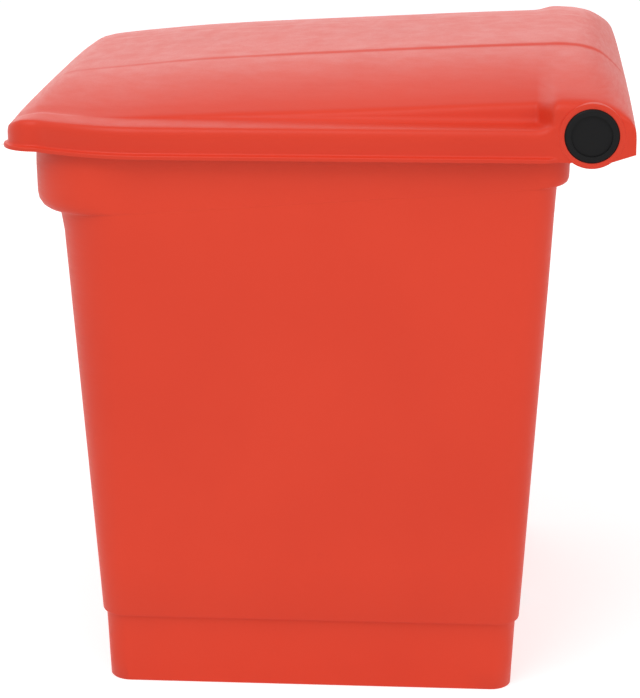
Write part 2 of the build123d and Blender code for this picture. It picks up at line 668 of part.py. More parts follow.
with BuildPart() as saddle_screws:
    for x in (-SADDLE_SCREW_X, SADDLE_SCREW_X):
        for y in (PIVOT_Y - SADDLE_SCREW_Y, PIVOT_Y + SADDLE_SCREW_Y):
            seat = Plane(origin=(x, y, FLOOR_Z - SADDLE_FOOT), z_dir=(0, 0, -1))
            add(screw(seat, SADDLE_FOOT + THREAD))
save(saddle_screws, "saddle_screws")

AXLE_END = SADDLE_IN_X + SADDLE_THICK + 3.0
PIVOT_PLANE = Plane(origin=(0, PIVOT_Y, PIVOT_Z))
with BuildPart() as pedal_axle:
    with BuildSketch(side_plane(PIVOT_PLANE, 0.0)):
        Circle(AXLE_R)
    extrude(amount=AXLE_END, both=True)
    chamfer(pedal_axle.edges().group_by(Axis.X)[0] + pedal_axle.edges().group_by(Axis.X)[-1], 0.6)
save(pedal_axle, "pedal_axle")

with BuildPart() as axle_clips:
    for side in (-1, 1):
        face = side_plane(PIVOT_PLANE, side * (SADDLE_IN_X + SADDLE_THICK + CLIP_GAP))
        add(spring_clip(face, AXLE_R, side * CLIP_THICK))
save(axle_clips, "axle_clips")

SLEEVE_END = 24.0
BUSH_START = SLEEVE_END + 0.4
BUSH_R = 8.0
for side, label in ((-1, "axle_bush_left"), (1, "axle_bush_right")):
    with BuildPart() as axle_bush:
        with BuildSketch(side_plane(PIVOT_PLANE, side * BUSH_START)):
            Circle(BUSH_R)
            Circle(AXLE_R, mode=Mode.SUBTRACT)
        extrude(amount=side * (SADDLE_IN_X - BUSH_START))
    save(axle_bush, label)

# ---------------------------------------------------------------- pedal lever
LEVER_HALF = 3.5
SLEEVE_R = 7.0
LEVER_SIDE = side_plane(PEDAL_PLANE, 0.0)
PLATE_FRONT = -95.0
PLATE_REAR = -60.0
PLATE_MID = (PLATE_FRONT + PLATE_REAR) / 2.0
PLATE_LOW = 3.0
PLATE_THICK = 2.5
PLATE_HALF = 42.0
PLATE_HOLES = (64.0, 18.0)         # spacing of the screw holes
BAR_FRONT = 9.0            # half heights of the bar, round the axle and at the rear
BAR_REAR = 7.0
SLOT_PLAY = 1.1
SLOT_SHIFT = (math.hypot(FOOT_REACH, FOOT_RISE) - ARM) / 2.0     # half the pin's travel in the slot
BAR_END = ARM + SLOT_SHIFT + 11.0
with BuildPart() as pedal_lever:
    # bar on edge, slotted at the rear for the rod's foot pin, with a plate welded on at the front
    with BuildSketch(LEVER_SIDE):
        with BuildLine():
            Polyline(
                (PLATE_FRONT, PLATE_LOW),
                (-30.0, PLATE_LOW),
                (-12.0, BAR_FRONT),
                (12.0, BAR_FRONT),
                (40.0, BAR_REAR),
                (BAR_END, BAR_REAR),
                (BAR_END, -BAR_REAR),
                (10.0, -BAR_FRONT),
                (-25.0, -BAR_REAR),
                (PLATE_FRONT, -1.0),
                close=True,
            )
        make_face()
        with Locations((ARM + SLOT_SHIFT, 0)):
            SlotCenterToCenter(2.0 * SLOT_SHIFT + 0.8, 2.0 * (LIFT_PIN_R + SLOT_PLAY), mode=Mode.SUBTRACT)
        Circle(SLEEVE_R, mode=Mode.SUBTRACT)
    extrude(amount=LEVER_HALF, both=True)
    with BuildSketch(PEDAL_PLANE.offset(PLATE_LOW)):
        with Locations((0, PLATE_MID)):
            Rectangle(2.0 * PLATE_HALF, PLATE_REAR - PLATE_FRONT)
            with GridLocations(*PLATE_HOLES, 2, 2):
                Circle(SCREW_R, mode=Mode.SUBTRACT)
    extrude(amount=PLATE_THICK)
save(pedal_lever, "pedal_lever")

with BuildPart() as lever_sleeve:
    with BuildSketch(LEVER_SIDE):
        Circle(SLEEVE_R)
        Circle(AXLE_R + RUN_GAP, mode=Mode.SUBTRACT)
    extrude(amount=SLEEVE_END, both=True)
save(lever_sleeve, "lever_sleeve")

TREAD_HALF = 62.0
TREAD_FRONT = -99.5
TREAD_REAR = -54.0
TREAD_TOP = 12.0
TREAD_LOW = -0.5
TREAD_MID = (TREAD_FRONT + TREAD_REAR) / 2.0
TREAD_WALL = 2.8
RIB_COUNT = 5
RIB_PITCH = 6.5
RIB_WIDE = 2.4
RIB_TALL = 1.6
with BuildPart() as foot_pedal:
    # shallow tray turned upside down over the lever's plate, with grip ribs on top
    with BuildSketch(PEDAL_PLANE.offset(TREAD_LOW)):
        with Locations((0, TREAD_MID)):
            RectangleRounded(2.0 * TREAD_HALF, TREAD_REAR - TREAD_FRONT, 5.0)
    extrude(amount=TREAD_TOP - TREAD_LOW)
    fillet(foot_pedal.faces().sort_by(Axis(PEDAL_PLANE.origin, PEDAL_PLANE.z_dir))[-1].edges(), 2.5)
    with BuildSketch(PEDAL_PLANE.offset(TREAD_LOW)):
        with Locations((0, TREAD_MID)):
            Rectangle(2.0 * (TREAD_HALF - TREAD_WALL), TREAD_REAR - TREAD_FRONT - 2.0 * TREAD_WALL)
    extrude(amount=PLATE_LOW + PLATE_THICK - TREAD_LOW, mode=Mode.SUBTRACT)
    with BuildSketch(PEDAL_PLANE.offset(TREAD_LOW)):
        with Locations((0, TREAD_REAR)):
            Rectangle(2.0 * LEVER_HALF + 1.0, 4.0 * TREAD_WALL)
    extrude(amount=PLATE_LOW + PLATE_THICK - TREAD_LOW, mode=Mode.SUBTRACT)
    with BuildSketch(PEDAL_PLANE.offset(TREAD_TOP - 0.2)):
        with Locations((0, TREAD_MID)):
            with GridLocations(1.0, RIB_PITCH, 1, RIB_COUNT):
                RectangleRounded(2.0 * (TREAD_HALF - 8.0), RIB_WIDE, 1.1)
    extrude(amount=RIB_TALL)
    with BuildSketch(PEDAL_PLANE.offset(PLATE_LOW + PLATE_THICK)):
        with Locations((0, PLATE_MID)):
            with GridLocations(*PLATE_HOLES, 2, 2):
                Circle(SCREW_R)
    extrude(amount=4.0, mode=Mode.SUBTRACT)
save(foot_pedal, "foot_pedal")

with BuildPart() as pedal_screws:
    for side in (-1, 1):
        for end in (-1, 1):
            corner = Vector(side * PLATE_HOLES[0] / 2.0, PLATE_MID + end * PLATE_HOLES[1] / 2.0, PLATE_LOW)
            seat = PEDAL_PLANE.from_local_coords(corner)
            add(screw(Plane(origin=seat, x_dir=(1, 0, 0), z_dir=-PEDAL_PLANE.z_dir), PLATE_THICK + 3.5))
save(pedal_screws, "pedal_screws")
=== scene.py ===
import bpy
import bmesh
import json
import math
from mathutils import Matrix, Vector

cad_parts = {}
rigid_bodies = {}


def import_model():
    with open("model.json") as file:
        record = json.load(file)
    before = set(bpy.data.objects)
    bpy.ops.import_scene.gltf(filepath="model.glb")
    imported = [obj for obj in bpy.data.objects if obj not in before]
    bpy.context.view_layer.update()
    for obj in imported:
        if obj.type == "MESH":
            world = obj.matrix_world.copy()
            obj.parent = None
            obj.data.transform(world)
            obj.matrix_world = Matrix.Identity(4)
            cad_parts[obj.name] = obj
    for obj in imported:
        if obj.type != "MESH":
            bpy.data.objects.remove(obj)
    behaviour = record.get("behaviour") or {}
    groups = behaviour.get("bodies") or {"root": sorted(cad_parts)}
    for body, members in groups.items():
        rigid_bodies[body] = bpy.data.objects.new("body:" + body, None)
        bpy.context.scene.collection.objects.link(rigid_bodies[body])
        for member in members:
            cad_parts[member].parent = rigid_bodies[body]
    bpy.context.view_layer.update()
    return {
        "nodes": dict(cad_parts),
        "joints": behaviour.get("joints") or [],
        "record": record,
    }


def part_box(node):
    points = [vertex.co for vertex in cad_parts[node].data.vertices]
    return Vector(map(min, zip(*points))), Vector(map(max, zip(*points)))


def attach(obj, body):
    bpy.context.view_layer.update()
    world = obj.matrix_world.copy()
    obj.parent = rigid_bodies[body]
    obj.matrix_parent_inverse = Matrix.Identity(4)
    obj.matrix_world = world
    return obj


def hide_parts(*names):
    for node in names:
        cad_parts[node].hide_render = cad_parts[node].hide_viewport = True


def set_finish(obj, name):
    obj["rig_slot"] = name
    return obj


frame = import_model()
MM = 0.001

# ------------------------------------------------------------------ sizes in mm, some of them from the frame
joints = {j["name"]: j for j in frame["joints"]}
HINGE_Y, HINGE_Z = (joints["lid_hinge"]["pos_m"][i] / MM for i in (1, 2))
HINGE = (HINGE_Y, HINGE_Z)
WALL = 2.8                           # wall of both mouldings
FLANGE = 2.8                         # flange past the lid's skirt
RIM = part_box("lid_shell")[1].x / MM - FLANGE    # half width of the lid's skirt
LID_LOW = 380.0                      # foot of the skirt
SMOOTH_LID = 38.0                    # edges sharper than this angle stay crisp, degrees
SMOOTH_BIN = 30.0


def lerp(a, b, t):
    return a + (b - a) * t


def smooth(t):
    t = min(1.0, max(0.0, t))
    return t * t * (3.0 - 2.0 * t)


def ease(rows, s):
    """Monotone cubic interpolation of rows (key, value, value, ...) at key s."""
    keys = [r[0] for r in rows]
    if s <= keys[0]:
        return list(rows[0][1:])
    if s >= keys[-1]:
        return list(rows[-1][1:])
    i = max(k for k in range(len(keys) - 1) if keys[k] <= s)
    out = []
    h = keys[i + 1] - keys[i]
    t = (s - keys[i]) / h
    for c in range(1, len(rows[0])):
        def slope(k):
            if k <= 0 or k >= len(rows) - 1:
                j = 0 if k <= 0 else len(rows) - 2
                return (rows[j + 1][c] - rows[j][c]) / (keys[j + 1] - keys[j])
            a = (rows[k][c] - rows[k - 1][c]) / (keys[k] - keys[k - 1])
            b = (rows[k + 1][c] - rows[k][c]) / (keys[k + 1] - keys[k])
            return 0.0 if a * b <= 0 else 2.0 * a * b / (a + b)
        m0, m1 = slope(i) * h, slope(i + 1) * h
        p0, p1 = rows[i][c], rows[i + 1][c]
        out.append(
            (2 * t**3 - 3 * t**2 + 1) * p0 + (t**3 - 2 * t**2 + t) * m0
            + (-2 * t**3 + 3 * t**2) * p1 + (t**3 - t**2) * m1
        )
    return out


def rounded(points, radii, arc=5, seg=3):
    """Path through 2-D points, each inner corner eased over a length before it and one after it."""
    pts = [Vector(p) for p in points]
    path = []
    ends = [pts[0]]
    for k in range(1, len(pts) - 1):
        a, b, c = pts[k - 1], pts[k], pts[k + 1]
        before, after = radii[k - 1]
        p = b + (a - b).normalized() * min(before, 0.48 * (b - a).length)
        q = b + (c - b).normalized() * min(after, 0.48 * (c - b).length)
        ends.append((p, b, q))
    ends.append(pts[-1])
    last = ends[0]
    for e in ends[1:]:
        target = e[0] if isinstance(e, tuple) else e
        for i in range(seg):
            path.append(last.lerp(target, i / seg))
        if isinstance(e, tuple):
            p, b, q = e
            for i in range(arc):
                t = i / arc
                path.append(p * (1 - t) ** 2 + b * 2 * t * (1 - t) + q * t * t)
            last = q
    path.append(pts[-1])
    return path


def add_mesh(name, verts, faces, body, slot, smooth_deg=SMOOTH_LID):
    """New piece from vertices in metres, riding on a body."""
    mesh = bpy.data.meshes.new(name)
    mesh.from_pydata([tuple(v) for v in verts], [], faces)
    mesh.validate()
    bm = bmesh.new()
    bm.from_mesh(mesh)
    bmesh.ops.remove_doubles(bm, verts=bm.verts, dist=1e-6)
    bmesh.ops.recalc_face_normals(bm, faces=bm.faces)
    bm.to_mesh(mesh)
    bm.free()
    mesh.shade_smooth()
    mesh.set_sharp_from_angle(angle=math.radians(smooth_deg))
    piece = bpy.data.objects.new(name, mesh)
    bpy.context.scene.collection.objects.link(piece)
    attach(piece, body)
    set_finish(piece, slot)
    return piece


def loft(rows, closed_rows=False, cap_first=False, cap_last=False):
    """Quads between rows of points that all have the same length."""
    n = len(rows[0])
    verts = [p for row in rows for p in row]
    faces = []
    span = n if closed_rows else n - 1
    for r in range(len(rows) - 1):
        for i in range(span):
            j = (i + 1) % n
            faces.append((r * n + i, r * n + j, (r + 1) * n + j, (r + 1) * n + i))
    if cap_first:
        faces.append(tuple(range(n))[::-1])
    if cap_last:
        faces.append(tuple((len(rows) - 1) * n + i for i in range(n)))
    return verts, faces


# ------------------------------------------------------------------ lid
BAND_HALF = 66.0
# key runs front to rear: (key, y, band z, side edge z, band step), mm
LID_ROWS = [
    (0, -203.6, 392.4, 391.6, 0.0),
    (1, -202.4, 395.0, 394.2, 0.1),
    (2, -198.0, 399.6, 397.6, 0.1),
    (3, -190.0, 405.9, 400.6, 0.2),
    (4, -183.0, 410.4, 401.9, 0.2),
    (5, -176.0, 413.0, 402.5, 0.3),
    (6, -158.0, 415.3, 403.0, 0.4),
    (8, -137.0, 417.4, 403.6, 0.5),
    (12, -95.0, 421.7, 404.9, 0.7),
    (16, -50.0, 424.8, 406.5, 0.8),
    (20, -9.0, 427.2, 407.7, 1.0),
    (25, 50.0, 430.2, 410.0, 1.1),
    (29, 100.0, 432.6, 412.4, 1.2),
    (33, 147.0, 434.4, 414.6, 1.3),
    (35, 160.0, 434.8, 418.5, 1.3),
    (37, 173.0, 433.9, 418.4, 1.3),
    (38, 181.0, 432.0, 417.8, 1.3),
    (39, 187.0, 429.4, 416.8, 1.2),
    (40, 192.0, 425.6, 415.0, 1.1),
    (41, 197.0, 420.8, 412.4, 0.9),
    (42, 201.5, 415.6, 409.2, 0.7),
    (43, 204.6, 410.2, 405.2, 0.4),
    (44, 206.2, 404.4, 400.4, 0.2),
    (45, 206.5, 399.0, 396.0, 0.0),
]
CORNER_START = -109.0                # the skirt turns in towards the front from here
CORNER_END = -181.0                  # and is CORNER_HALF wide here
CORNER_HALF = 175.5
LID_FRONT = LID_ROWS[0][1]
LEDGE = 17.8                         # width of the flat ledge round the crown
HOUSING_Y = (143.0, 156.0)           # the ledge closes up into the hinge housing over this stretch
FLANGE_END_Y = 150.0                 # the flange fades out behind this line
BAND_EDGE = 3.0                      # half width of the slope at the band's edge
CROWN_STEPS = 26
FRONT_BOW = 0.7                      # the front edge bulges forward by this much in the middle


def lid_half(y):
    """Half width of the skirt at y (mm)."""
    if y >= CORNER_START:
        return RIM
    if y >= CORNER_END:
        t = (CORNER_START - y) / (CORNER_START - CORNER_END)
        return RIM - (RIM - CORNER_HALF) * t**1.9
    t = min(1.0, (CORNER_END - y) / (CORNER_END - LID_FRONT))
    return CORNER_HALF - 20.5 * (1.0 - math.sqrt(max(0.0, 1.0 - t**2.3)))


def lid_section(key, inset):
    """Half cross-section of the lid at a row's key, flange's foot to middle, as y and (x, z) points."""
    y, band_z, edge_z, step = ease(LID_ROWS, key)
    half = lid_half(y) - inset
    housing = smooth((y - HOUSING_Y[0]) / (HOUSING_Y[1] - HOUSING_Y[0]))
    foot_x = half - lerp(LEDGE, 0.6, housing)
    foot_z = lerp(402.2, 404.0, housing) - inset
    wall = lerp(2.6, 0.5, housing)
    edge_z = edge_z - inset
    foot_z = min(foot_z, edge_z - 0.3)
    rim_z = min(lerp(399.6, 401.5, housing) - inset, foot_z - 0.3)
    low = LID_LOW + 5.2 * min(1.0, max(0.0, (y - 190.0) / 16.0))
    out = half + (0.0 if inset else FLANGE) * (1.0 - smooth((y - FLANGE_END_Y) / 8.0))
    edge_x = foot_x - wall
    crown_low = band_z - step - inset
    start = edge_x - 1.2
    reach = start - BAND_HALF - BAND_EDGE
    crown = []
    for i in range(CROWN_STEPS + 1):
        x = start - reach * i / CROWN_STEPS
        t = (x - BAND_HALF - BAND_EDGE) / reach
        crown.append((x, crown_low - (crown_low - edge_z) * t**2))
    round_top = lerp(4.0, 9.0, housing)
    path = rounded(
        [(out, low), (out, low + 2.4), (half, low + 3.4), (half, rim_z), (foot_x, foot_z),
         (edge_x, edge_z - 0.6), crown[3]],
        [(0.8, 0.8), (1.2, 1.2), (7.0, 4.0), (3.5, 3.5), (round_top, round_top)],
    )
    path += [Vector(c) for c in crown[4:]]
    for i in range(1, 7):
        t = i / 6
        x = lerp(BAND_HALF + BAND_EDGE, BAND_HALF - BAND_EDGE, t)
        path.append(Vector((x, crown_low + step * smooth(t))))
    for i in range(1, 13):
        x = lerp(BAND_HALF - BAND_EDGE, 0.0, i / 12)
        path.append(Vector((x, band_z - inset + 0.15 * step * (1 - (x / BAND_HALF) ** 2))))
    return y, path


def end_wall(row, sign, flange):
    """Rows from the end of the crown down to the lid's foot; a flange steps out near the foot."""
    low = min(p[2] for p in row)
    made = []
    for t in (0.25, 0.5, 0.75, 0.86, 0.90, 1.0):
        flare = flange * 0.98 if t >= 0.9 else 0.0
        made.append([(x, y + sign * flare, lerp(z, low, t)) for x, y, z in row])
    return made


def lid_surface(inset):
    """Rows of points over the whole lid, front wall and rear wall included."""
    keys = []
    for a, b in zip(LID_ROWS, LID_ROWS[1:]):
        n = max(2, int((abs(b[1] - a[1]) + abs(b[2] - a[2])) / (1.2 if 99.0 < a[1] < 160.0 else 4.0)))
        keys += [lerp(a[0], b[0], i / n) for i in range(n)]
    keys.append(LID_ROWS[-1][0])
    rows = []
    for key in keys:
        y, path = lid_section(key, inset)
        y = y + inset * smooth((-150.0 - y) / 50.0) - inset * smooth((y - 150.0) / 50.0)
        bow = FRONT_BOW * smooth((-150.0 - y) / 50.0)
        half = lid_half(y) - inset
        lean = (lid_half(y + 0.5) - lid_half(y - 0.5)) if y < CORNER_START else 0.0
        across, along = 1.0 / math.hypot(1.0, lean), -lean / math.hypot(1.0, lean)
        full = []
        for p in path:
            past = max(0.0, p.x - half)
            x = p.x - past * (1.0 - across)
            full.append((x, y + past * along - bow * (1 - (x / 160.0) ** 2), p.y))
        rows.append(full + [(-x, yy, z) for x, yy, z in full[-2::-1]])
    front = end_wall(rows[0], -1, 0.0 if inset else FLANGE)
    rear = end_wall(rows[-1], 1, 0.0)
    return front[::-1] + rows + rear


def to_m(rows):
    return [[(x * MM, y * MM, z * MM) for x, y, z in row] for row in rows]


def boundary(rows):
    """Open edge of a lofted sheet, once round."""
    n, m = len(rows), len(rows[0])
    ring = [(0, i) for i in range(m)] + [(r, m - 1) for r in range(1, n)]
    ring += [(n - 1, i) for i in range(m - 2, -1, -1)] + [(r, 0) for r in range(n - 2, 0, -1)]
    return ring


def make_lid():
    """Lid as one closed shell: outer skin, inner skin and the edge that joins them."""
    outer, inner = to_m(lid_surface(0.0)), to_m(lid_surface(WALL))
    v1, f1 = loft(outer)
    v2, f2 = loft(inner)
    base = len(v1)
    m = len(outer[0])
    ring = boundary(outer)
    faces = f1 + [tuple(base + i for i in reversed(f)) for f in f2]
    for (r, i), (s, j) in zip(ring, ring[1:] + ring[:1]):
        faces.append((r * m + i, s * m + j, base + s * m + j, base + r * m + i))
    return add_mesh("lid_skin", v1 + v2, faces, "lid", "lid_red")


def ring_x(profile, x_sign, body, slot, name, centre, steps=72):
    """Turned piece about an axis along X: profile rows are (x, radius) in mm and run once round."""
    cy, cz = centre
    verts, faces = [], []
    n = len(profile)
    for k in range(steps):
        turn = 2.0 * math.pi * k / steps
        for x, r in profile:
            verts.append((x_sign * x * MM, (cy + r * math.cos(turn)) * MM, (cz + r * math.sin(turn)) * MM))
    for k in range(steps):
        for i in range(n):
            j, m = (i + 1) % n, (k + 1) % steps
            faces.append((k * n + i, k * n + j, m * n + j, m * n + i))
    return add_mesh(name, verts, faces, body, slot)


def prism(points, x0, x1):
    """Closed prism across X from a polygon of (y, z) points, mm."""
    n = len(points)
    verts = [(x * MM, y * MM, z * MM) for x in (x0, x1) for y, z in points]
    faces = [tuple(range(n))[::-1], tuple(range(n, 2 * n))]
    faces += [(i, (i + 1) % n, n + (i + 1) % n, n + i) for i in range(n)]
    return verts, faces


def cut(piece, verts, faces):
    """Exact boolean of a closed mesh from a piece, applied at once."""
    mesh = bpy.data.meshes.new("cutter")
    mesh.from_pydata(verts, [], faces)
    bm = bmesh.new()
    bm.from_mesh(mesh)
    bmesh.ops.recalc_face_normals(bm, faces=bm.faces)
    bm.to_mesh(mesh)
    bm.free()
    tool = bpy.data.objects.new("cutter", mesh)
    bpy.context.scene.collection.objects.link(tool)
    tool.parent = piece.parent
    tool.matrix_world = piece.matrix_world
    mod = piece.modifiers.new("cut", "BOOLEAN")
    mod.operation = "DIFFERENCE"
    mod.solver = "EXACT"
    mod.object = tool
    bpy.context.view_layer.update()
    done = bpy.data.meshes.new_from_object(piece.evaluated_get(bpy.context.evaluated_depsgraph_get()))
    piece.modifiers.remove(mod)
    piece.data = done
    bpy.data.objects.remove(tool)
    bpy.data.meshes.remove(mesh)
    done.set_sharp_from_angle(angle=math.radians(SMOOTH_LID))


def soften(piece, width, segments):
    """Rounded edges, as a modifier."""
    soft = piece.modifiers.new("edge", "BEVEL")
    soft.width = width * MM
    soft.segments = segments
    soft.limit_method = "ANGLE"


def disc(centre, radius, x0, x1, steps=96):
    """Polygon prism of a circle round an axis along X."""
    cy, cz = centre
    turns = [2.0 * math.pi * k / steps for k in range(steps)]
    return prism([(cy + radius * math.cos(t), cz + radius * math.sin(t)) for t in turns], x0, x1)


SIDES = ((-1, "left"), (1, "right"))
CAP_SEAT = 18.6                      # hole in the lid's skirt for the hinge pin's head
# turned profiles round the hinge line as (x, radius)
BOSS = [(177.0, 8.2), (176.5, 9.0), (176.5, 20.2), (177.3, 21.0), (197.0, 21.0), (197.3, 20.9), (197.4, 20.6),
        (197.4, 17.9), (197.2, 17.5), (196.8, 17.4), (193.6, 17.4), (193.4, 16.9), (193.4, 8.2)]
lid_skin = make_lid()
for side, label in SIDES:
    cut(lid_skin, *disc(HINGE, CAP_SEAT, *sorted((side * 190.0, side * 206.0))))
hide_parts("lid_shell")
for side, label in SIDES:
    ring_x(BOSS, side, "lid", "lid_red", "lid_boss_" + label, HINGE)

# ------------------------------------------------------------------ container
# (front z, rear z, half width, front y, rear y, front corner, rear corner), foot to mouth, mm
OUTER_ROWS = [
    (0.0, 0.0, 165.0, -147.9, 132.5, 15.5, 13.5),
    (0.6, 0.6, 165.5, -148.4, 133.0, 16.0, 14.0),
    (16.0, 16.0, 165.9, -148.9, 133.8, 16.0, 14.0),
    (32.0, 32.0, 166.3, -149.3, 134.7, 16.0, 14.0),
    (48.6, 48.6, 166.8, -149.8, 135.6, 16.0, 14.0),
    (49.6, 49.6, 167.2, -150.2, 136.0, 16.3, 14.3),
    (50.0, 50.0, 168.2, -151.0, 137.0, 17.0, 15.0),
    (50.5, 50.5, 169.4, -151.7, 137.9, 17.8, 15.8),
    (51.6, 51.6, 169.9, -152.1, 138.3, 18.0, 16.0),
    (90.0, 90.0, 172.3, -154.7, 140.8, 22.1, 16.3),
    (140.0, 140.0, 175.4, -158.1, 143.9, 27.2, 16.6),
    (190.0, 190.0, 178.4, -161.5, 147.1, 32.2, 17.0),
    (240.0, 240.0, 181.5, -164.9, 150.3, 37.3, 17.3),
    (290.0, 290.0, 184.6, -168.3, 153.5, 42.4, 17.6),
    (322.0, 340.0, 186.6, -170.5, 156.4, 45.6, 17.8),
    (331.0, 356.0, 187.3, -172.0, 157.5, 47.0, 18.0),
    (334.2, 359.6, 187.5, -172.6, 157.8, 47.4, 18.1),
    (336.0, 360.8, 187.6, -173.8, 158.6, 48.2, 18.3),
    (336.8, 361.0, 187.6, -175.6, 160.2, 49.2, 18.6),
    (337.0, 361.1, 187.7, -179.0, 161.8, 50.6, 18.9),
    (337.4, 361.5, 187.7, -182.2, 163.4, 51.8, 19.3),
    (339.2, 362.6, 187.8, -185.6, 164.8, 53.0, 19.7),
    (342.5, 364.6, 187.9, -187.9, 165.5, 53.8, 20.0),
    (347.0, 368.0, 188.1, -188.7, 165.7, 54.0, 20.0),
    (366.0, 374.0, 189.0, -189.3, 165.8, 57.0, 20.0),
    (380.6, 380.6, 189.6, -189.9, 165.9, 64.0, 20.0),
    (381.6, 381.6, 190.2, -190.5, 166.5, 65.6, 20.6),
    (382.6, 382.6, 190.8, -191.1, 166.9, 66.5, 21.0),
    (384.8, 384.8, 190.8, -191.1, 166.9, 66.5, 21.0),
    (385.7, 385.7, 190.3, -190.6, 166.4, 66.0, 20.6),
]
MOUTH_ROWS = [
    (386.0, 386.0, 189.6, -189.6, 165.4, 65.0, 19.6),
    (386.0, 386.0, 188.4, -188.4, 164.2, 63.8, 18.4),
    (385.4, 385.4, 187.4, -187.4, 163.3, 62.8, 17.4),
]
FLOOR_TOP = 66.8
FLOOR_LOW = 64.0
FILLET = 8.0
GROOVE_HALF = 16.0                   # groove for the lift rod, up the rear wall
ROD_FOOT = (116.0, 9.5)              # (y, z) of the rod's lower pivot
ROD_SLOPE = math.tan(math.radians(4.422833))
ROD_ROOM = 14.6                      # from the rod's line to the groove's front wall
TOE_HALF = 72.0
TOE_FRONT = -230.0                   # well in front of the container
TOE_BACK = -96.0
TOE_TOP = 104.0
LEVER_HALF = 18.9                    # passage for the lever through the rear of the base
LEVER_Y = (88.0, 130.2)
BASE_FRONT = -138.0                  # the base is open in front of this line, between the toe recess's walls
BELOW = -5.0


def channel_front(z):
    """Front wall of the rod's groove at height z."""
    return ROD_FOOT[0] + (z - ROD_FOOT[1]) * ROD_SLOPE - ROD_ROOM


def container_ring(row, inset=0.0):
    """Once round the container at one row: right half from the groove to the front, then the left half."""
    z_front, z_rear, half, front, rear, cf, cr = row
    half, front, rear = half - inset, front + inset, rear - inset
    cf, cr = max(1.0, cf - inset), max(1.0, cr - inset)
    groove = GROOVE_HALF + inset
    floor_y = channel_front(0.5 * (z_front + z_rear)) - inset
    path = [(groove * i / 2.0, floor_y) for i in range(2)]
    path += [(groove, lerp(floor_y, rear - 1.2, i / 5.0)) for i in range(6)]
    path += [(groove + 0.4, rear - 0.4)]
    path += [(lerp(groove + 1.2, half - cr, i / 8.0), rear) for i in range(9)]
    for i in range(1, 7):
        t = math.pi / 2.0 * i / 7.0
        path.append((half - cr + cr * math.sin(t), rear - cr + cr * math.cos(t)))
    path += [(half, lerp(rear - cr, front + cf, i / 14.0)) for i in range(15)]
    for i in range(1, 12):
        t = math.pi / 2.0 * i / 12.0
        path.append((half - cf + cf * math.cos(t), front + cf - cf * math.sin(t)))
    path += [(lerp(half - cf, 0.0, i / 10.0), front) for i in range(11)]
    path += [(-x, y) for x, y in path[-2:0:-1]]
    return [(x * MM, y * MM, lerp(z_front, z_rear, (y - front) / (rear - front)) * MM) for x, y in path]


def at_height(z):
    """Outer row of the body or base at height z."""
    return (z, z) + tuple(ease([row[1:] for row in OUTER_ROWS], z))


def make_container():
    """Container as one closed shell: up inside the base, up the outside, down the inside to the floor."""
    heights = (FLOOR_LOW, 50.0, 34.0, 17.0, 0.8)
    rows = [container_ring((z, z) + at_height(min(z, 48.0))[2:], WALL) for z in heights]
    rows.append(container_ring((0.0, 0.0) + OUTER_ROWS[0][2:], WALL - 0.4))
    rows += [container_ring(row) for row in OUTER_ROWS + MOUTH_ROWS]
    inner = [row for row in OUTER_ROWS[::-1] if 366.0 >= row[0] > 51.0 + WALL]
    for row in inner:
        lift = 2.2 * smooth((row[0] - 325.0) / 12.0) * (1.0 - smooth((row[0] - 340.0) / 12.0))
        rows.append(container_ring((row[0] + lift, row[1] + lift) + row[2:], WALL))
    for i in range(6):
        t = math.pi / 2.0 * i / 5.0
        z = FLOOR_TOP + FILLET * (1.0 - math.sin(t))
        rows.append(container_ring((z, z) + at_height(z)[2:], WALL + FILLET * (1.0 - math.cos(t))))
    verts, faces = loft(rows, closed_rows=True, cap_first=True, cap_last=True)
    return add_mesh("container_skin", verts, faces, "container", "container_red", SMOOTH_BIN)


def toe_profile(extra):
    """Recess over the pedal, as (y, z); extra is how far it grows."""
    back, low, top = TOE_BACK + extra, FLOOR_LOW - 1.0 - extra, TOE_TOP + extra
    return [(TOE_FRONT, low), (back, low), (back, 72.0 + 0.6 * extra), (-146.0, top), (TOE_FRONT, top)]


def make_toe_pocket():
    """Walls of the recess inside the container, one closed shell."""
    half, back, top = TOE_HALF + WALL, TOE_BACK + WALL, TOE_TOP + WALL
    outside = [(-151.6, 64.2), (back, 64.2), (back, 73.7), (-144.6, top), (-154.0, top)]
    pocket = add_mesh("toe_pocket", *prism(outside, -half, half), "container", "container_red")
    cut(pocket, *prism(toe_profile(0.0), -TOE_HALF, TOE_HALF))
    soften(pocket, 0.8, 2)


def block(y0, y1, z0, z1, half):
    """Box across the middle, as a prism."""
    return prism([(y0, z0), (y1, z0), (y1, z1), (y0, z1)], -half, half)


GAP = 0.2                            # the skin's openings are this much larger than the pocket's
BOSS_ROOM = 22.0                     # relief in the collar round the lid's bosses
container_skin = make_container()
cut(container_skin, *block(*LEVER_Y, BELOW, FLOOR_LOW, LEVER_HALF))
cut(container_skin, *block(TOE_FRONT, BASE_FRONT, BELOW, FLOOR_LOW - 0.1, TOE_HALF + GAP))
cut(container_skin, *prism(toe_profile(GAP), -TOE_HALF - GAP, TOE_HALF + GAP))
for side, label in SIDES:
    cut(container_skin, *disc(HINGE, BOSS_ROOM, *sorted((side * 175.5, side * 215.0))))
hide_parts("container_shell")
make_toe_pocket()

EAR = [(160.6, 8.05), (160.0, 8.6), (160.0, 14.2), (160.8, 15.0), (174.7, 15.0), (175.5, 14.2), (175.5, 8.6),
       (174.9, 8.05)]
EAR_WEB = [(HINGE_Y - 14.6, HINGE_Z), (HINGE_Y - 6.0, HINGE_Z - 13.4), (HINGE_Y + 6.0, HINGE_Z - 12.6),
           (164.6, 374.0), (163.6, 364.5), (158.0, 364.5), (148.0, 378.0)]
for side, label in SIDES:
    ring_x(EAR, side, "container", "container_red", "ear_barrel_" + label, HINGE)
    web = add_mesh("ear_web_" + label, *prism(EAR_WEB, *sorted((side * 160.4, side * 175.1))), "container",
                   "container_red")
    soften(web, 1.0, 3)

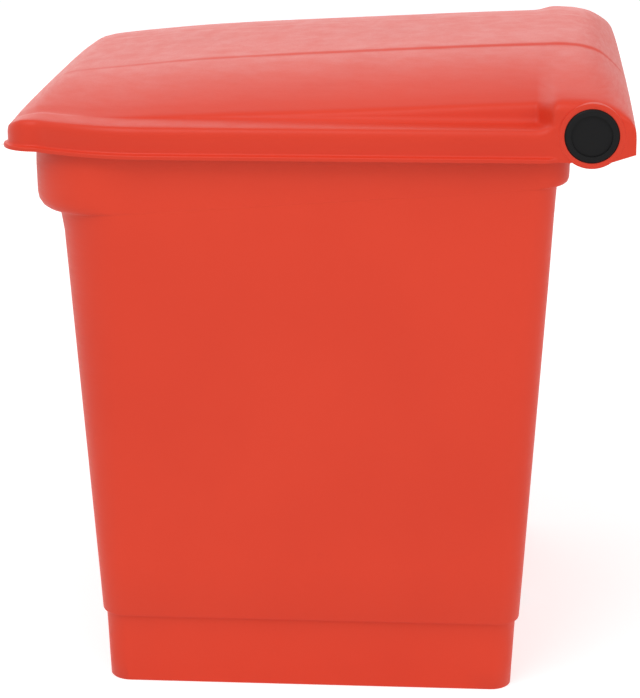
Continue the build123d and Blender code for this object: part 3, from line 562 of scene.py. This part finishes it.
# ------------------------------------------------------------------ lid underside
RIB_END_Y = 138.0
SEAT_ROW = OUTER_ROWS[-5]            # the container's outline just under its rim
# the rib's section as (inset from that outline, z), from the outer top round the foot to the inner top
RIB_SECTION = ((-0.1, 399.0), (-0.1, 386.5), (0.3, 386.05), (2.5, 386.05), (2.9, 386.5), (2.9, 399.0))
PAD = [(116.0, 427.05), (168.0, 427.05), (168.0, 431.4), (116.0, 430.4)]
PAD_HALF = 22.0


def make_seat_rib():
    """Rib under the lid that lands on the container's mouth, open at the rear."""
    rings = []
    for inset, z in RIB_SECTION:
        ring = container_ring((z, z) + SEAT_ROW[2:], inset)
        past_groove = [p for p in ring[1:] if p[1] < 0.0 or abs(p[0]) > (GROOVE_HALF + 4.0) * MM]
        rings.append([p for p in past_groove if p[1] < RIB_END_Y * MM])
    verts, faces = loft(rings)
    n, last = len(rings[0]), len(rings) - 1
    ends = [tuple(r * n for r in range(last + 1)), tuple(r * n + n - 1 for r in range(last + 1))[::-1]]
    top = [(i, i + 1, last * n + i + 1, last * n + i) for i in range(n - 1)]
    add_mesh("seat_rib", verts, faces + ends + top, "lid", "lid_red")


make_seat_rib()
add_mesh("bracket_pad", *prism(PAD, -PAD_HALF, PAD_HALF), "lid", "lid_red")

# ------------------------------------------------------------------ materials


class Shade:
    """Small helper round one material's node tree; all textures are procedural and in object space."""

    def __init__(self, name):
        self.mat = bpy.data.materials.new(name)
        self.mat.use_nodes = True
        self.nodes, self.links = self.mat.node_tree.nodes, self.mat.node_tree.links
        self.bsdf = self.nodes["Principled BSDF"]
        self.coord = self.nodes.new("ShaderNodeTexCoord")

    def noise(self, scale, detail, rough, stretch=(1, 1, 1)):
        mapping = self.nodes.new("ShaderNodeMapping")
        mapping.inputs["Scale"].default_value = stretch
        self.links.new(self.coord.outputs["Object"], mapping.inputs["Vector"])
        tex = self.nodes.new("ShaderNodeTexNoise")
        tex.inputs["Scale"].default_value = scale
        tex.inputs["Detail"].default_value = detail
        tex.inputs["Roughness"].default_value = rough
        self.links.new(mapping.outputs["Vector"], tex.inputs["Vector"])
        return tex.outputs["Fac"]

    def span(self, value, low, high, a, b):
        node = self.nodes.new("ShaderNodeMapRange")
        for name, number in (("From Min", low), ("From Max", high), ("To Min", a), ("To Max", b)):
            node.inputs[name].default_value = number
        self.links.new(value, node.inputs["Value"])
        return node.outputs["Result"]

    def mix(self, fac, a, b):
        node = self.nodes.new("ShaderNodeMix")
        node.data_type = "RGBA"
        self.links.new(fac, node.inputs["Factor"])
        colours = [s for s in node.inputs if s.type == "RGBA"]
        for target, value in zip(colours, (a, b)):
            if isinstance(value, tuple):
                target.default_value = value + (1.0,)
            else:
                self.links.new(value, target)
        return [s for s in node.outputs if s.type == "RGBA"][0]

    def add(self, a, b):
        node = self.nodes.new("ShaderNodeMath")
        node.operation = "ADD"
        self.links.new(a, node.inputs[0])
        self.links.new(b, node.inputs[1])
        return node.outputs[0]

    def bump(self, height, strength, distance, under=None):
        node = self.nodes.new("ShaderNodeBump")
        node.inputs["Strength"].default_value = strength
        node.inputs["Distance"].default_value = distance
        self.links.new(height, node.inputs["Height"])
        if under:
            self.links.new(under, node.inputs["Normal"])
        return node.outputs["Normal"]

    def edge(self, low, high, amount):
        geometry = self.nodes.new("ShaderNodeNewGeometry")
        return self.span(geometry.outputs["Pointiness"], low, high, 0.0, amount)

    def use(self, **sockets):
        for name, value in sockets.items():
            socket = self.bsdf.inputs[name.replace("_", " ")]
            if isinstance(value, (int, float)):
                socket.default_value = value
            else:
                self.links.new(value, socket)


def plastic(name, colour, rough, gloss=0.5, worn=0.10, wave=0.00035):
    """Moulded polyethylene: fine grain, slow waviness, faint scuffs, dark specks, worn edges."""
    shade = Shade(name)
    r, g, b = colour
    tone = shade.mix(shade.span(shade.noise(6.0, 3.0, 0.5), 0.3, 0.7, 0.0, 1.0),
                     (r * 0.965, g * 0.94, b * 0.94), (r * 1.025, g * 1.06, b * 1.06))
    tone = shade.mix(shade.span(shade.noise(34.0, 4.0, 0.6), 0.5, 0.8, 0.0, 0.14), tone,
                     (r * 0.93, g * 0.85, b * 0.85))
    fine = shade.noise(900.0, 2.0, 0.6)
    speck = shade.noise(420.0, 1.0, 0.4)
    tone = shade.mix(shade.span(speck, 0.68, 0.80, 0.0, 0.10), tone, (r * 0.8, g * 0.7, b * 0.7))
    tone = shade.mix(shade.edge(0.52, 0.62, worn), tone,
                     (min(1.0, r * 1.1 + 0.05), min(1.0, g * 1.5 + 0.05), min(1.0, b * 1.5 + 0.05)))
    scuff = shade.span(shade.noise(60.0, 5.0, 0.65, (1.0, 1.0, 9.0)), 0.35, 0.75, rough - 0.03, rough + 0.06)
    grain = shade.bump(fine, 0.4, 0.00006)
    skin = shade.bump(shade.noise(9.0, 1.0, 0.3), 0.25, wave, grain)
    shade.use(Base_Color=tone, Roughness=shade.add(scuff, shade.span(fine, 0.3, 0.7, -0.02, 0.02)),
              Normal=skin, IOR=1.5, Specular_IOR_Level=gloss)
    return shade.mat


def plated(name, colour, rough, drawn=(1.0, 1.0, 1.0), stain=0.25):
    """Plated steel: drawn or turned lines, a mottled passivated film and darker spots."""
    shade = Shade(name)
    r, g, b = colour
    film = shade.noise(45.0, 4.0, 0.6)
    tone = shade.mix(shade.span(film, 0.3, 0.7, 0.0, 1.0), (r * 0.86, g * 0.86, b * 0.85),
                     (min(1.0, r * 1.08), min(1.0, g * 1.07), min(1.0, b * 1.02)))
    spots = shade.span(shade.noise(130.0, 3.0, 0.7), 0.58, 0.75, 0.0, stain)
    tone = shade.mix(spots, tone, (r * 0.42, g * 0.38, b * 0.33))
    lines = shade.noise(260.0, 3.0, 0.6, drawn)
    rough_map = shade.add(shade.span(lines, 0.3, 0.7, rough - 0.06, rough + 0.08),
                          shade.span(film, 0.3, 0.7, -0.03, 0.05))
    shade.use(Base_Color=tone, Metallic=1.0, Roughness=rough_map, Normal=shade.bump(lines, 0.35, 0.00005))
    return shade.mat


MATERIALS = {
    # painted shade: the lid is the same red as the container, made darker here to offset the extra light that
    # falls on the lid's top
    "lid_red": plastic("lid_plastic_painted_shade", (0.71, 0.046, 0.019), 0.38, gloss=0.25, wave=0.00008),
    # painted light: the container's red is made lighter here than the lid's to offset the shade on its sides
    # under the lid
    "container_red": plastic("container_plastic_painted_light", (0.775, 0.054, 0.021), 0.45, gloss=0.28),
    "pedal_red": plastic("pedal_plastic", (0.69, 0.045, 0.020), 0.52, gloss=0.3, worn=0.35),
    "black_plastic": plastic("black_plastic", (0.008, 0.008, 0.0085), 0.42, gloss=0.12, worn=0.02),
    "nylon": plastic("nylon", (0.70, 0.68, 0.61), 0.45, gloss=0.4, worn=0.05),
    "zinc_steel": plated("zinc_steel", (0.62, 0.62, 0.60), 0.34, (1.0, 1.0, 0.04)),
    "fastener_steel": plated("fastener_steel", (0.50, 0.50, 0.49), 0.30, (1.0, 1.0, 1.0), 0.4),
}
for piece in [o for o in bpy.data.objects if "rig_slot" in o]:
    piece.data.materials.clear()
    piece.data.materials.append(MATERIALS[piece["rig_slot"]])
for part in frame["record"]["subparts"]:
    for place in frame["nodes"][part["node"]].material_slots:
        place.material = MATERIALS[part["material_slot"]]

# ------------------------------------------------------------------ stage, lamps and camera
FLOOR_HALF = 15.0                    # metres
floor_mesh = bpy.data.meshes.new("floor")
floor_corners = [(-FLOOR_HALF, -FLOOR_HALF), (FLOOR_HALF, -FLOOR_HALF), (FLOOR_HALF, FLOOR_HALF),
                 (-FLOOR_HALF, FLOOR_HALF)]
floor_mesh.from_pydata([(x, y, 0.0) for x, y in floor_corners], [], [(0, 1, 2, 3)])
floor = bpy.data.objects.new("floor", floor_mesh)
bpy.context.scene.collection.objects.link(floor)
floor_mat = bpy.data.materials.new("floor_paper")
floor_mat.use_nodes = True
fn, fl = floor_mat.node_tree.nodes, floor_mat.node_tree.links
paper = fn["Principled BSDF"]
paper.inputs["Base Color"].default_value = (0.72, 0.72, 0.72, 1)
paper.inputs["Roughness"].default_value = 0.9
paper.inputs["Specular IOR Level"].default_value = 0.1
paper.inputs["Emission Color"].default_value = (1, 1, 1, 1)


def seen_directly(nodes, links):
    """1 for camera and glossy rays, 0 for the rest."""
    path = nodes.new("ShaderNodeLightPath")
    seen = nodes.new("ShaderNodeMath")
    seen.operation = "MAXIMUM"
    links.new(path.outputs["Is Camera Ray"], seen.inputs[0])
    links.new(path.outputs["Is Glossy Ray"], seen.inputs[1])
    return seen.outputs[0]


def pick(nodes, links, fac, low, high):
    """A value that is low for fac 0 and high for fac 1."""
    level = nodes.new("ShaderNodeMapRange")
    level.inputs["To Min"].default_value = low
    level.inputs["To Max"].default_value = high
    links.new(fac, level.inputs["Value"])
    return level.outputs["Result"]


fl.new(pick(fn, fl, seen_directly(fn, fl), 0.08, 0.56), paper.inputs["Emission Strength"])
floor_mesh.materials.append(floor_mat)

world = bpy.data.worlds.new("studio")
bpy.context.scene.world = world
world.use_nodes = True
wn, wl = world.node_tree.nodes, world.node_tree.links
wl.new(pick(wn, wl, seen_directly(wn, wl), 0.62, 1.0), wn["Background"].inputs["Strength"])
wn["Background"].inputs["Color"].default_value = (1, 1, 1, 1)


def lamp(name, place, target, size, power):
    """Square area lamp at a place, aimed at a target; metres and watts."""
    light = bpy.data.lights.new(name, "AREA")
    light.size = size
    light.energy = power
    lit = bpy.data.objects.new(name, light)
    bpy.context.scene.collection.objects.link(lit)
    lit.location = place
    lit.rotation_euler = (Vector(target) - Vector(place)).to_track_quat("-Z", "Y").to_euler()


lamp("key", (1.4, -0.8, 2.3), (0, 0, 0.2), 1.6, 21.0)
lamp("fill", (1.5, 1.4, 1.3), (0, 0, 0.2), 1.6, 10.0)
lamp("backdrop", (-2.3, -0.45, 1.2), (0, 0, 0.4), 2.0, 6.0)

CAMERA_PLACE = Vector((1.6627, 0.1268, 0.6990))
CAMERA_AIM = Vector((0.0, -0.0109, 0.1947))
ROLL = math.radians(0.48)
LENS = 121.3                         # mm, on a sensor 36 mm wide
camera_data = bpy.data.cameras.new("camera")
camera = bpy.data.objects.new("camera", camera_data)
bpy.context.scene.collection.objects.link(camera)
camera_data.lens = LENS
camera_data.sensor_width = 36.0
camera_data.clip_end = 50.0
forward = (CAMERA_AIM - CAMERA_PLACE).normalized()
right = forward.cross(Vector((0, 0, 1))).normalized()
up = right.cross(forward)
tilted_right = right * math.cos(ROLL) - up * math.sin(ROLL)
tilted_up = right * math.sin(ROLL) + up * math.cos(ROLL)
turn = Matrix((tilted_right, tilted_up, -forward)).transposed().to_4x4()
camera.matrix_world = Matrix.Translation(CAMERA_PLACE) @ turn
bpy.context.scene.camera = camera
bpy.context.scene.view_settings.view_transform = "Standard"
